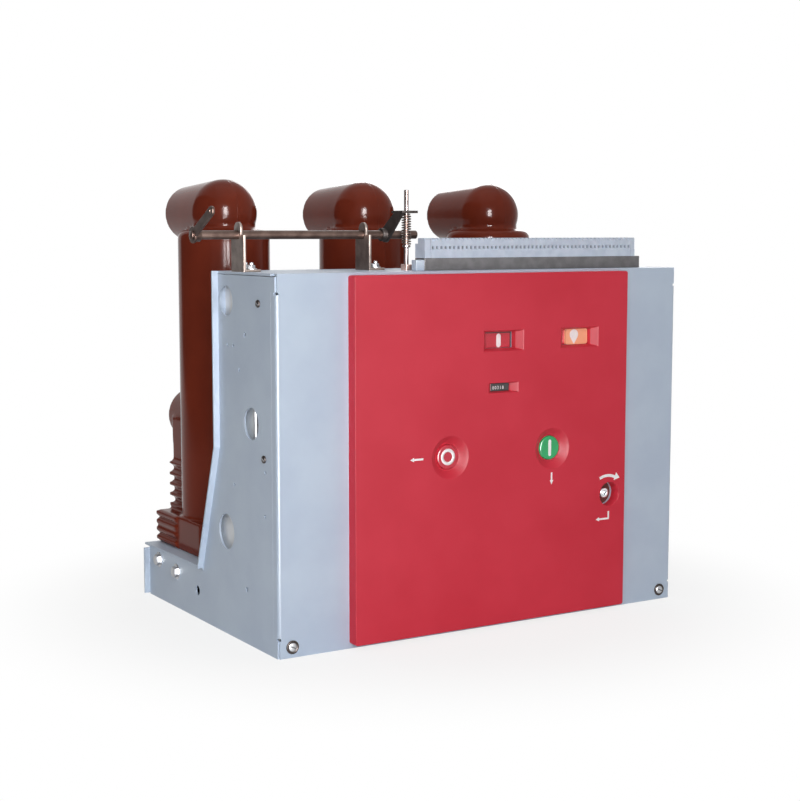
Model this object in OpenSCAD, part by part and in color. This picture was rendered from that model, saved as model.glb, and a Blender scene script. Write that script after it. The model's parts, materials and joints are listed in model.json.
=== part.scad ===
// Fixed-type indoor vacuum circuit breaker, 12 kV class.
// A sheet-steel mechanism box at the front, with side plates that run back into a low foot,
// carries three moulded poles on a shelf. Millimetres, +Z up, +X to the right seen from the front,
// +Y to the rear. The origin is on the floor, at the middle of the foot.

/* [Mechanism box] */
// Width over the two side plates
box_w = 586; // [540:1:640]
// Height to the top of the top plate
box_h = 441; // [400:1:500]
// Depth of the tall part
box_d = 155; // [140:1:175]
// Thickness of the sheet steel
sheet = 2.5; // [1.5:0.5:4]
// Thickness of the top plate
top_t = 3; // [2:0.5:5]
// Width of the outward flange along the rear edges
flange_w = 7.5; // [6:0.5:14]
// Depth of the returns at the sides of the front cover
return_d = 12; // [8:1:16]
// Radius of the bends of the front cover
bend_r = 4; // [3:0.5:6]
// Height of the plain corners above and below the bends
corner_h = 21; // [15:1:30]

/* [Foot] */
// Depth of the foot under the side plates
foot_d = 385; // [370:1:420]
// Height of the side plates at the foot
foot_h = 65; // [55:1:80]
// Thickness of the shelf that carries the poles
shelf_t = 3; // [2:0.5:6]
// How far the shelf reaches past the foot
shelf_over = 14; // [5:1:20]
// Height at which the rear edge starts to slope
kink_h = 228; // [200:1:260]
// Depth at which the sloping edge meets the foot
slope_d = 207; // [190:1:230]

/* [Front panel] */
// Width of the moulded panel
panel_w = 400; // [370:1:440]
// Height of the moulded panel
panel_h = 432; // [380:1:434]
// How far the panel stands proud of the cover
panel_t = 16; // [12:1:22]
// Gap from the floor to the panel
panel_z = 6; // [4:1:12]
// Radius of the panel's corners
panel_corner_r = 3; // [1:0.5:8]

/* [Indicators] */
// Centre of the position window and the counter, to the right of the middle
window_x = 8; // [-20:1:30]
// Centre of the charge window, to the right of the middle
charge_window_x = 124; // [90:1:150]
// Height of both window centres
window_z = 356.5; // [330:0.5:380]
// Width of a window's mouth
window_w = 59; // [45:1:70]
// Height of a window's mouth
window_h = 25; // [18:1:32]
// Height of the counter's centre
counter_z = 299; // [280:1:320]
// Width of the counter's mouth
counter_w = 44; // [34:1:52]
// Height of the counter's mouth
counter_h = 12; // [10:1:18]

/* [Buttons] */
// Trip button, to the left of the middle
trip_x = -69; // [-100:1:-50]
// Close button, to the right of the middle
close_x = 83; // [50:1:100]
// Height of both buttons
button_z = 219; // [190:1:240]
// Radius of a button
button_r = 15; // [10:0.5:18]
// Radius of the dished recess round a button
dish_r = 26; // [22:0.5:30]
// Depth of the dished recess
dish_d = 8; // [4:0.5:9]
// How far a button stands out of the bottom of its dish
button_out = 2.5; // [1:0.5:4]

/* [Manual charging] */
// Charging shaft, to the right of the middle
charge_x = 175; // [150:1:180]
// Height of the charging shaft
charge_z = 153; // [130:1:180]
// Radius of the charging shaft
charge_r = 6.3; // [5:0.1:8]
// Radius of the hole in the panel
charge_hole_r = 15.5; // [13:0.5:18]

/* [Poles] */
// Distance between neighbouring poles
pole_pitch = 210; // [190:1:230]
// Depth of the pole axis behind the front cover
pole_d = 312; // [300:1:320]
// Radius of the upright tube
tube_r = 60; // [50:1:70]
// Height of the upper terminal's axis
upper_z = 512; // [490:1:540]
// Distance between the two terminal axes
terminal_pitch = 275; // [240:1:290]
// Radius of the domed front of an outlet
outlet_r = 43.7; // [38:0.1:50]
// Radius of an outlet at its rear rim
rim_r = 36.7; // [32:0.1:42]
// How far the rim lies behind the pole axis
rim_reach = 109; // [95:1:125]
// Radius of the rounded shoulder on the tube
shoulder_r = 11; // [8:1:15]

/* [Pole base] */
// Half width of the spine below the lower outlet
spine_half_w = 41; // [34:1:48]
// How far the spine reaches behind the pole axis at its top
spine_reach = 88; // [80:1:95]
// Draft of the spine from top to bottom
spine_draft = 7; // [0:1:12]
// Half width of the base block
base_half_w = 63; // [55:1:68]
// Height of the base block
base_h = 44; // [36:1:60]
// Depth of the base block
base_d = 134; // [120:1:136]
// Distance between sheds on the spine
shed_pitch = 14.3; // [12:0.1:16]
// How far a shed stands out
shed_out = 5; // [2:0.1:6]
// Distance between ribs on the base
rib_pitch = 11; // [8:0.5:14]
// How far a rib stands out
rib_out = 3.6; // [1.5:0.1:4]

/* [Terminals] */
// Radius of the terminal stud
terminal_r = 27; // [22:0.5:30]
// Depth of the socket in the rim
socket_d = 24; // [16:1:35]
// How far the terminal's face stands out of the rim
terminal_out = 4; // [2:0.5:12]
// Radius of the circle of terminal holes
terminal_hole_pcr = 16; // [12:0.5:18]
// Radius of a terminal hole
terminal_hole_r = 4.25; // [3:0.05:6]

/* [Interlock] */
// Depth of the interlock shaft behind the front cover
shaft_d = 97; // [85:1:105]
// Height of the interlock shaft above the top plate
shaft_rise = 43; // [35:1:55]
// Radius of the interlock shaft
shaft_r = 5.2; // [4:0.1:6]
// Left end of the shaft, from the middle
shaft_left = -352; // [-370:1:-335]
// Right end of the shaft, from the middle
shaft_right = -48; // [-60:1:-40]
// Left bracket, from the middle
bracket_left_x = -290; // [-292:1:-270]
// Right bracket, from the middle
bracket_right_x = -122; // [-140:1:-110]
// Push rod, from the middle
rod_x = -82; // [-84:1:-80]
// Distance from the shaft forward to the push rod
rod_forward = 33; // [30:1:35]
// Radius of the push rod
rod_r = 2.8; // [2:0.1:3.2]
// Height of the lever's tab above the shaft
tab_rise = 27.5; // [24:0.5:32]

/* [Terminal strip] */
// Number of ways
ways = 50; // [40:1:52]
// Width of one way
way_pitch = 6.2; // [5.2:0.1:6.4]
// Depth of the strip
strip_d = 22; // [18:1:24]
// Height of the strip
strip_h = 24; // [18:1:30]
// Depth of the strip's face behind the front cover
strip_front_d = 30; // [20:1:36]
// Height of the rail under the strip
rail_h = 15; // [10:1:20]

/* [Hidden] */
PHASES = ["left", "centre", "right"];
$fn = 64;

// Colours
PAINT = "#b4bfd0";
RED = "#c3283a";
EPOXY = "#5a2418";
STEEL = "#8d8b88";
DARK = "#3a3634";
BRASS = "#b09a62";
PALE = "#c4ccda";

// Clearances
fit = 0.3;          // a running piece in its bore, or a piece seated beside another
eps = 0.01;         // overshoot of a cut

// Frame: the front cover's outer face is at front_y
front_y = -foot_d / 2 - 7.5;
pole_y = front_y + pole_d;
half_w = box_w / 2;
inner_half_w = half_w - sheet;
side_h = box_h - top_t;
back_d = box_d - sheet;
shelf_z = foot_h + shelf_t;
shelf_d = foot_d + shelf_over;
slope_t = sheet * 1.05;     // the sheet's thickness along Y where it slopes
shelf_lap = 10;             // how far the shelf reaches forward under the rear wall
foot_flange_gap = 1.5;
lower_z = upper_z - terminal_pitch;
relief_h = 3;       // relief notch at each end of a bend
relief_w = 4;
relief_d = 5;
corner_inset = 2;   // how far the plain corners stop short of the side plates' faces
top_gap = 0.8;      // joint between the side plates and the top plate
bend_h = box_h - 2 * corner_h;

// Front panel openings
window_taper_x = 7.5;
window_taper_z = 2.5;
window_taper_d = 8;
counter_taper_x = 8;
counter_taper_z = 1;
mouth_w = window_w - 2 * window_taper_x;
mouth_h = window_h - 2 * window_taper_z;
counter_mouth_w = counter_w - 2 * counter_taper_x;
counter_mouth_h = counter_h - 2 * counter_taper_z;
flag_lap = 6;       // how far an indicator plate laps the cover round its cut-out
flag_t = 2;
flag_face_d = 0.5;  // face of an indicator plate, behind the cover's face

// Buttons
button_bevel = 1.2;
button_stem = 28;

// Charging shaft
charge_end_in = 10; // the shaft's end, behind the panel's face
charge_len = 70;
bearing_t = 12;
bearing_wall = 6;
bearing_flange_w = 6;   // how far its flange laps the hole in the cover
bearing_flange_t = 3;
socket_len = 6;

// Screws
front_screw_r = 8;
front_screw_t = 1.6;
front_screw_in = 18;
front_screw_z = 12.5;
side_screw_r = 4.5;
side_screw_t = 2.2;
foot_bolt_af = 13;
foot_bolt_t = 5;
washer_t = 1.2;

// Holes in a side plate: [depth, height, radius]
side_openings = [[130, 406, 18], [65, 265.5, 19], [136, 127, 21.5]];
side_screw_places = [[43.5, 406], [32, 228]];
side_small_holes = [[80, 368.5, 3], [127.5, 354, 2], [112, 354, 2.2], [96.5, 326, 2.2],
                    [29.5, 212.5, 2.2], [112.5, 187.5, 2.2], [31, 161.5, 2.2], [81, 66, 3]];
fixing_hole = [225, 36, 6.5];
foot_bolt_places = [[349, 53], [290, 48]];

// Inner frame
frame_gap = 7;      // from the side plate to the inner frame
frame_t = 3;
frame_front_d = 20;
spring_rod_r = 2.5;
spring_rod_half = 40;
eye_h = 10;

// Interlock
plate_t = 3;
shaft_y = front_y + shaft_d;
shaft_z = box_h + shaft_rise;
bracket_d = 34;
bracket_foot_w = 22;
bracket_eye_r = 9;
bracket_eye_top = 15;
lever_w = 11;
lever_left_reach = 58;
lever_left_angle = 27.5;
link_hole_r = 2.6;
hub_r = 8;
eye_r = 9.5;
hub_w = 9;
rod_y = shaft_y - rod_forward;
tab_z = shaft_z + tab_rise;
tab_w = 22;
blade_left = 11;    // from the rod to the blade's left face
blade_back = 8;     // blade behind the rod, at the tab
tab_front = 9;      // tab in front of the rod
tab_back = 17;      // tab behind the rod
slot_front = 4.5;
slot_back = 13;
rod_top = box_h + 97;
rod_bottom = box_h - 16;
spring_r = 6;
spring_wire_r = 0.75;
spring_len = 38;
collar_r = 5;
collar_t = 3;
guide_af = 13;
guide_h = 7;

// Terminal strip
strip_left = rod_x + 5;
strip_z = box_h + rail_h;
end_plate_left = 9;
end_plate_right = 7;
strip_len = ways * way_pitch + end_plate_left + end_plate_right;
rail_over = 8;      // how far the rail reaches past the strip on the right
clamp_w = 12;
strip_step = 0.72;  // share of the depth and height at which the strip is stepped

// ---------------------------------------------------------------- helpers

// A solid of the side view (depth behind the cover, height), from x0, thickness t
module side_slab(x0, t) {
    translate([x0, front_y, 0]) rotate([90, 0, 90]) linear_extrude(t) children();
}

// A round bar along X from x0, at a depth and a height
module bar_x(x0, len, d, z, r) {
    translate([x0, front_y + d, z]) rotate([0, 90, 0]) cylinder(h = len, r = r);
}

// A round bar along Y from a depth, at x and z
module bar_y(x, d, z, len, r1, r2 = undef) {
    translate([x, front_y + d, z]) rotate([-90, 0, 0])
        cylinder(h = len, r1 = r1, r2 = is_undef(r2) ? r1 : r2);
}

// A box given by its low corner, with Y as a depth behind the cover
module block(x, d, z, size) {
    translate([x, front_y + d, z]) cube(size);
}

// The left one, and its mirror image on the right
module on_side(side) {
    mirror([side == "right" ? 1 : 0, 0, 0]) children();
}

// ---------------------------------------------------------------- sheet-steel box

// Front plate with returns at the sides and the top, and a rounded bend at each
module front_cover() color(PAINT) difference() {
    union() {
        block(-half_w + bend_r, 0, 0, [box_w - 2 * bend_r, sheet, box_h]);
        for (s = ["left", "right"]) on_side(s) {
            block(-half_w, bend_r, corner_h, [sheet, return_d - bend_r, bend_h]);
            translate([-half_w + bend_r, front_y + bend_r, corner_h]) bend(bend_h);
            for (z = [0, corner_h + bend_h])
                block(-half_w + corner_inset, 0, z, [bend_r - corner_inset, sheet, corner_h]);
        }
        block(-half_w + bend_r, 0, box_h - sheet, [box_w - 2 * bend_r, return_d, sheet]);
    }
    for (s = ["left", "right"]) on_side(s)
        for (z = [corner_h, corner_h + bend_h - relief_h])
            block(-half_w - eps, -eps, z, [relief_w, relief_d, relief_h]);
    for (x = [window_x, charge_window_x])
        block(x - mouth_w / 2, -eps, window_z - mouth_h / 2, [mouth_w, sheet + 2 * eps, mouth_h]);
    block(window_x - counter_mouth_w / 2, -eps, counter_z - counter_mouth_h / 2,
          [counter_mouth_w, sheet + 2 * eps, counter_mouth_h]);
    for (x = [trip_x, close_x]) bar_y(x, -eps, button_z, sheet + 2 * eps, button_r + fit);
    bar_y(charge_x, -eps, charge_z, sheet + 2 * eps, charge_hole_r);
}

// A quarter of a bent sheet, round a vertical axis at the origin
module bend(h) {
    intersection() {
        difference() {
            cylinder(h = h, r = bend_r);
            translate([0, 0, -eps]) cylinder(h = h + 2 * eps, r = bend_r - sheet);
        }
        translate([-bend_r, -bend_r, 0]) cube([bend_r, bend_r, h]);
    }
}

// Side view of a side plate: tall in front, sloping down to the foot behind
module side_outline(inset) {
    polygon([[sheet, 0], [foot_d - inset, 0], [foot_d - inset, foot_h], [slope_d, foot_h],
             [slope_d, shelf_z], [box_d - inset, kink_h], [box_d - inset, side_h - top_gap],
             [sheet, side_h - top_gap]]);
}

// Side view of the bent strip along the rear edge, from the top down to the shelf
module rear_strip_outline() {
    polygon([[back_d, side_h], [box_d, side_h], [box_d, kink_h],
             [slope_d + slope_t, shelf_z], [slope_d, shelf_z], [back_d, kink_h]]);
}

// The same strip, with the one up the end of the foot
module rear_flange_outline() {
    rear_strip_outline();
    translate([foot_d - sheet, foot_flange_gap])
        square([sheet, foot_h - 2 * foot_flange_gap]);
}

module side_plate(side) color(PAINT) on_side(side) difference() {
    union() {
        side_slab(-half_w, sheet) side_outline(sheet);
        side_slab(-half_w - flange_w, flange_w + sheet) rear_flange_outline();
        side_slab(-half_w - flange_w, flange_w)
            translate([back_d, side_h - eps]) square([sheet, top_t + eps]);
    }
    block(-half_w - eps, 0, corner_h, [sheet + 2 * eps, return_d + fit, bend_h]);
    for (h = concat(side_openings, side_small_holes, [fixing_hole]))
        bar_x(-half_w - eps, sheet + 2 * eps, h[0], h[1], h[2]);
}

module side_plate_left() side_plate("left");
module side_plate_right() side_plate("right");

module top_plate() color(PAINT) difference() {
    block(-half_w, return_d, side_h, [box_w, box_d - return_d, top_t]);
    translate([rod_x, rod_y, side_h - eps]) cylinder(h = top_t + 2 * eps, r = rod_r + fit);
}

// The rear wall is bent to follow the side plates down to the shelf
module back_plate() color(PAINT)
    side_slab(-inner_half_w, 2 * inner_half_w) rear_strip_outline();

module bottom_plate() color(PAINT)
    block(-inner_half_w, sheet, 0, [2 * inner_half_w, foot_d - 2 * sheet, sheet]);

module rear_foot_plate() color(PAINT)
    block(-inner_half_w, foot_d - sheet, 0, [2 * inner_half_w, sheet, foot_h]);

// The shelf lies on the foot, and reaches between the side plates under the rear wall
module pole_shelf() color(PAINT) difference() {
    block(-half_w, slope_d - shelf_lap, foot_h, [box_w, shelf_d - slope_d + shelf_lap, shelf_t]);
    for (s = ["left", "right"]) on_side(s)
        block(-half_w - flange_w, 0, foot_h - eps,
              [sheet + flange_w, slope_d + slope_t, shelf_t + 2 * eps]);
}

// Plate behind each side plate that carries the mechanism
module inner_frame(side) color(PAINT) on_side(side)
    side_slab(-inner_half_w + frame_gap, frame_t) polygon([
        [frame_front_d, sheet], [slope_d - shelf_lap - 2, sheet], [slope_d - shelf_lap - 2, foot_h],
        [back_d, kink_h], [back_d, side_h], [frame_front_d, side_h]]);

module inner_frame_left() inner_frame("left");
module inner_frame_right() inner_frame("right");

// Upright rod with an eye at each end, between a side plate and its inner frame
module spring_rod(side) color(STEEL) on_side(side) {
    x = -inner_half_w + frame_gap / 2;
    y = front_y + side_openings[1][0];
    z = side_openings[1][1];
    translate([x, y, z - spring_rod_half]) cylinder(h = 2 * spring_rod_half, r = spring_rod_r);
    for (e = [-1, 1])
        translate([x - frame_gap / 2 + fit, y, z + e * spring_rod_half]) rotate([0, 90, 0])
            cylinder(h = frame_gap - 2 * fit, r = eye_h);
}

module spring_rod_left() spring_rod("left");
module spring_rod_right() spring_rod("right");

// ---------------------------------------------------------------- front panel

// A rectangular mouth that narrows inwards, then runs straight through
module tapered_window(x, z, w, h, taper_x, taper_z) {
    intersection() {
        translate([x, front_y - panel_t, z - h / 2 - eps]) linear_extrude(h + 2 * eps)
            polygon([[-w / 2 - eps, -eps], [w / 2 + eps, -eps],
                     [w / 2 - taper_x, window_taper_d], [-w / 2 + taper_x, window_taper_d]]);
        translate([x - w / 2 - eps, front_y - panel_t, z]) rotate([90, 0, 90])
            linear_extrude(w + 2 * eps)
            polygon([[-eps, -h / 2 - eps], [window_taper_d, -h / 2 + taper_z],
                     [window_taper_d, h / 2 - taper_z], [-eps, h / 2 + eps]]);
    }
    block(x - w / 2 + taper_x, -panel_t + window_taper_d - eps, z - h / 2 + taper_z,
          [w - 2 * taper_x, panel_t - window_taper_d + 2 * eps, h - 2 * taper_z]);
}

module panel_outline() {
    for (x = [-1, 1], z = [0, 1])
        translate([x * (panel_w / 2 - panel_corner_r), panel_z + panel_corner_r
                   + z * (panel_h - 2 * panel_corner_r)]) circle(r = panel_corner_r);
    translate([-panel_w / 2 + panel_corner_r, panel_z])
        square([panel_w - 2 * panel_corner_r, panel_h]);
    translate([-panel_w / 2, panel_z + panel_corner_r])
        square([panel_w, panel_h - 2 * panel_corner_r]);
}

module front_panel() color(RED) difference() {
    translate([0, front_y, 0]) rotate([90, 0, 0]) linear_extrude(panel_t) panel_outline();
    for (x = [window_x, charge_window_x])
        tapered_window(x, window_z, window_w, window_h, window_taper_x, window_taper_z);
    tapered_window(window_x, counter_z, counter_w, counter_h, counter_taper_x, counter_taper_z);
    for (x = [trip_x, close_x]) {
        bar_y(x, -panel_t - eps, button_z, dish_d, dish_r, button_r + 2);
        bar_y(x, -panel_t, button_z, panel_t + eps, button_r + fit);
    }
    bar_y(charge_x, -panel_t - eps, charge_z, panel_t + 2 * eps, charge_hole_r);
}

// Indicator plate that laps the cut-out on the back of the cover, with a pad from a depth into it
module flag(x, z, w, h, pad_d) {
    block(x - w / 2 - flag_lap, sheet, z - h / 2 - flag_lap,
          [w + 2 * flag_lap, flag_t, h + 2 * flag_lap]);
    block(x - w / 2 + fit, pad_d, z - h / 2 + fit,
          [w - 2 * fit, sheet - pad_d + eps, h - 2 * fit]);
}

module position_indicator() color(RED) flag(window_x, window_z, mouth_w, mouth_h, flag_face_d);
module charge_indicator() color("orange")
    flag(charge_window_x, window_z, mouth_w, mouth_h, flag_face_d);
module operation_counter() color(DARK)
    flag(window_x, counter_z, counter_mouth_w, counter_mouth_h, -panel_t + window_taper_d + 0.5);

// A push button with a bevelled cap and a stem, guided in the panel
module push_button(x) {
    face_d = -panel_t + dish_d - button_out;
    bar_y(x, face_d, button_z, button_bevel, button_r - button_bevel, button_r);
    bar_y(x, face_d + button_bevel, button_z, sheet + 1 - face_d - button_bevel, button_r);
    bar_y(x, sheet, button_z, button_stem, button_r / 3);
}
module trip_button() color(RED) push_button(trip_x);
module close_button() color("seagreen") push_button(close_x);

// Manual charging shaft with a six-sided socket in its end
module charging_shaft() color(STEEL) difference() {
    bar_y(charge_x, -panel_t + charge_end_in, charge_z, charge_len, charge_r);
    translate([charge_x, front_y - panel_t + charge_end_in - eps, charge_z])
        rotate([-90, 0, 0]) cylinder(h = socket_len, r = charge_r / 2, $fn = 6);
}

// Flanged bearing behind the cover
module charging_bearing() color(STEEL) difference() {
    union() {
        bar_y(charge_x, sheet, charge_z, bearing_t, charge_r + bearing_wall);
        bar_y(charge_x, sheet, charge_z, bearing_flange_t, charge_hole_r + bearing_flange_w);
    }
    bar_y(charge_x, sheet - eps, charge_z, bearing_t + 2 * eps, charge_r + fit);
}

// ---------------------------------------------------------------- screws

// Round slotted screw head on the cover, at each lower corner
module front_screws() color(DARK)
    for (s = [-1, 1]) difference() {
        bar_y(s * (half_w - front_screw_in), -front_screw_t, front_screw_z, front_screw_t,
              front_screw_r - 1, front_screw_r);
        translate([s * (half_w - front_screw_in), front_y - front_screw_t, front_screw_z])
            rotate([0, 15, 0]) cube([3 * front_screw_r, 1.6, 1.8], center = true);
    }

module side_screws() color(DARK)
    for (s = ["left", "right"], p = side_screw_places) on_side(s)
        bar_x(-half_w - side_screw_t, side_screw_t, p[0], p[1], side_screw_r);

// Hexagon bolts that hold the shelf's frame, on each side of the foot
module foot_bolts() color(STEEL)
    for (s = ["left", "right"], p = foot_bolt_places) on_side(s) {
        translate([-half_w - foot_bolt_t - washer_t, front_y + p[0], p[1]]) rotate([0, 90, 0])
            cylinder(h = foot_bolt_t, r = foot_bolt_af / sqrt(3), $fn = 6);
        bar_x(-half_w - washer_t, washer_t, p[0], p[1], foot_bolt_af * 0.75);
    }

// ---------------------------------------------------------------- poles

function arc(cx, cy, r, a0, a1, n) =
    [for (i = [0:n]) let (a = a0 + (a1 - a0) * i / n) [cx + r * cos(a), cy + r * sin(a)]];

shed_count = 5;
shed_first = 5.7;   // the lowest shed, above the base block
shed_half_t = 2.6;
rib_count = 4;
rib_first = 6.6;    // the lowest rib, above the shelf
rib_half_t = 3;
rib_front_d = 20;   // where a rib starts, behind the pole axis
base_inset = 4;     // from the shelf's rear edge to the base block
terminal_hole_len = 18;

// Radius and height profile of the tube, with its rounded shoulder and a fillet under the head
shoulder_z = upper_z - 22;
neck_r = 41;
neck_fillet = 6;
tube_profile = concat(
    [[0, shelf_z], [tube_r, shelf_z]],
    arc(tube_r - shoulder_r, shoulder_z - shoulder_r, shoulder_r, 0, 90, 8),
    arc(neck_r + neck_fillet, shoulder_z + neck_fillet, neck_fillet, 270, 180, 6),
    [[0, shoulder_z + neck_fillet]]);

// An outlet: a domed front on the pole axis and a tapered barrel to the rear rim
module outlet(x, z) {
    translate([x, pole_y, z]) {
        sphere(r = outlet_r);
        rotate([-90, 0, 0]) cylinder(h = rim_reach, r1 = outlet_r, r2 = rim_r);
    }
}

// A shed or rib: a rounded ridge that runs round a block of half width hw, depth d0 to d1
module ridge(hw, d0, d1, z, out, half_t) {
    translate([0, 0, z - half_t]) linear_extrude(2 * half_t) polygon([
        [-hw - out, d0], [hw + out, d0], [hw + out, d1 + out], [-hw - out, d1 + out]]);
}

// Spine below the lower outlet, with a drafted back and its sheds
module spine() {
    spine_bottom = shelf_z + base_h;
    rotate([90, 0, 90]) translate([0, 0, -spine_half_w]) linear_extrude(2 * spine_half_w)
        polygon([[0, spine_bottom], [spine_reach - spine_draft, spine_bottom],
                 [spine_reach, lower_z], [0, lower_z]]);
    for (i = [0:shed_count - 1])
        ridge(spine_half_w, 0, spine_reach - spine_draft, spine_bottom + shed_first + i * shed_pitch,
              shed_out, shed_half_t);
}

module base_block() {
    back = shelf_d - pole_d - base_inset;
    translate([-base_half_w, back - base_d, shelf_z])
        cube([2 * base_half_w, base_d, base_h]);
    for (i = [0:rib_count - 1])
        ridge(base_half_w, rib_front_d, back, shelf_z + rib_first + i * rib_pitch, rib_out, rib_half_t);
}

module pole(i) color(EPOXY) {
    x = (i - 1) * pole_pitch;
    difference() {
        union() {
            translate([x, pole_y, 0]) rotate_extrude() polygon(tube_profile);
            outlet(x, upper_z);
            outlet(x, lower_z);
            translate([x, pole_y, 0]) {
                spine();
                base_block();
            }
        }
        for (z = [lower_z, upper_z])
            bar_y(x, pole_d + rim_reach - socket_d, z, socket_d + 1, terminal_r + fit);
    }
}

module terminal(i, z) color(STEEL) difference() {
    x = (i - 1) * pole_pitch;
    bar_y(x, pole_d + rim_reach - socket_d, z, socket_d + terminal_out, terminal_r);
    for (a = [45:90:315])
        bar_y(x + terminal_hole_pcr * cos(a), pole_d + rim_reach + terminal_out - terminal_hole_len,
              z + terminal_hole_pcr * sin(a), terminal_hole_len + eps, terminal_hole_r);
}

// ---------------------------------------------------------------- interlock

// Side view of a bracket: a low front corner, and an eye over the shaft
module bracket_outline() {
    translate([shaft_d - bracket_d / 2, box_h]) square([bracket_d, shaft_rise]);
    translate([shaft_d, shaft_z + bracket_eye_top - bracket_eye_r]) circle(r = bracket_eye_r);
    translate([shaft_d - bracket_eye_r, box_h])
        square([2 * bracket_eye_r, shaft_rise + bracket_eye_top - bracket_eye_r]);
}

module bracket(x) color(STEEL) difference() {
    union() {
        side_slab(x - plate_t, plate_t) bracket_outline();
        block(x - plate_t, shaft_d - bracket_d / 2, box_h, [bracket_foot_w, bracket_d, plate_t]);
    }
    bar_x(x - plate_t - eps, plate_t + 2 * eps, shaft_d, shaft_z, shaft_r + fit);
}
module bracket_left() bracket(bracket_left_x);
module bracket_right() bracket(bracket_right_x);

module bracket_bolts() color(STEEL)
    for (x = [bracket_left_x, bracket_right_x], d = [-8, 8])
        translate([x + bracket_foot_w / 2, shaft_y + d, box_h + plate_t]) {
            cylinder(h = 1, r = 5.5);
            cylinder(h = 5, r = 4.6, $fn = 6);
        }

module interlock_shaft() color(STEEL)
    bar_x(shaft_left, shaft_right - shaft_left, shaft_d, shaft_z, shaft_r);

// Side view of a lever arm that points forward and up from the shaft
module arm_outline(reach, angle) {
    translate([shaft_d, shaft_z]) rotate(180 - angle) {
        circle(r = eye_r);
        polygon(concat([[0, lever_w / 2], [0, -lever_w / 2]], arc(reach, 0, lever_w / 2, -90, 90, 12)));
    }
}

module lever_left() color(STEEL) difference() {
    union() {
        side_slab(shaft_left + 2, plate_t) arm_outline(lever_left_reach, lever_left_angle);
        bar_x(shaft_left + 2, hub_w, shaft_d, shaft_z, hub_r);
    }
    bar_x(shaft_left, hub_w + 4, shaft_d, shaft_z, shaft_r + fit);
    bar_x(shaft_left, plate_t + 4, shaft_d - lever_left_reach * cos(lever_left_angle),
          shaft_z + lever_left_reach * sin(lever_left_angle), link_hole_r);
}

// Blade beside the push rod, with a slotted tab bent over it
lever_right_x = rod_x - blade_left;
module lever_right() color(DARK) difference() {
    union() {
        side_slab(lever_right_x, plate_t) hull() {
            translate([shaft_d, shaft_z]) circle(r = eye_r, $fn = 32);
            translate([shaft_d - rod_forward - tab_front, shaft_z + tab_rise - plate_t / 2])
                square([tab_front + blade_back, plate_t]);
        }
        block(lever_right_x, shaft_d - rod_forward - tab_front, tab_z - plate_t / 2,
              [tab_w, tab_front + tab_back, plate_t]);
        bar_x(lever_right_x + plate_t - hub_w, hub_w, shaft_d, shaft_z, hub_r);
    }
    bar_x(lever_right_x - hub_w, 2 * hub_w, shaft_d, shaft_z, shaft_r + fit);
    block(rod_x - rod_r - 1, shaft_d - rod_forward - slot_front, tab_z - plate_t,
          [2 * rod_r + 2, slot_front + slot_back, 2 * plate_t]);
}

module push_rod() color(STEEL) {
    translate([rod_x, rod_y, rod_bottom]) cylinder(h = rod_top - rod_bottom, r = rod_r);
    translate([rod_x, rod_y, tab_z - plate_t / 2 - spring_len - collar_t - fit])
        cylinder(h = collar_t, r = collar_r);
}

// Plain sleeve that stands for the coil spring round the rod
module push_rod_spring() color(STEEL) difference() {
    translate([rod_x, rod_y, tab_z - plate_t / 2 - spring_len - fit / 2])
        cylinder(h = spring_len - fit, r = spring_r);
    translate([rod_x, rod_y, tab_z - plate_t - spring_len])
        cylinder(h = spring_len + plate_t, r = spring_r - 2 * spring_wire_r);
}

module rod_guide() color(BRASS) difference() {
    translate([rod_x, rod_y, box_h]) cylinder(h = guide_h, r = guide_af / sqrt(3), $fn = 6);
    translate([rod_x, rod_y, box_h - eps]) cylinder(h = guide_h + 2 * eps, r = rod_r + fit);
}

// ---------------------------------------------------------------- terminal strip

module strip_rail() color(STEEL)
    block(strip_left, strip_front_d, box_h, [strip_len + rail_over, strip_d, rail_h]);

// Side view of one way: stepped at the top
module strip_outline() {
    square([strip_d, strip_h * strip_step]);
    square([strip_d * strip_step, strip_h]);
}

module terminal_strip() color(PALE)
    translate([strip_left, front_y + strip_front_d, strip_z]) rotate([90, 0, 90])
        linear_extrude(strip_len) strip_outline();

module strip_end_clamp() color(PALE)
    block(strip_left - clamp_w, strip_front_d, box_h, [clamp_w, strip_d / 2, rail_h - 2]);

// ---------------------------------------------------------------- assembly

front_cover();
front_panel();
side_plate_left();
side_plate_right();
top_plate();
back_plate();
bottom_plate();
rear_foot_plate();
pole_shelf();
inner_frame_left();
inner_frame_right();
spring_rod_left();
spring_rod_right();
position_indicator();
charge_indicator();
operation_counter();
trip_button();
close_button();
charging_shaft();
charging_bearing();
front_screws();
side_screws();
foot_bolts();
bracket_left();
bracket_right();
bracket_bolts();
interlock_shaft();
lever_left();
lever_right();
push_rod();
push_rod_spring();
rod_guide();
strip_rail();
terminal_strip();
strip_end_clamp();
for (i = [0:2]) {
    pole(i);
    terminal(i, upper_z);
    terminal(i, lower_z);
}
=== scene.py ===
# %% [markdown]
# # A fixed indoor vacuum circuit breaker
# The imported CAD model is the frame: a sheet-steel mechanism box with a red moulded front, an
# interlock shaft and a terminal strip on top, and three epoxy poles behind. This notebook gives
# each piece its finish and its small shapes, and leaves every size as the CAD has it.

# %% Load the frame
import json
import math

import bmesh
import bpy
from mathutils import Matrix, Vector

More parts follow.
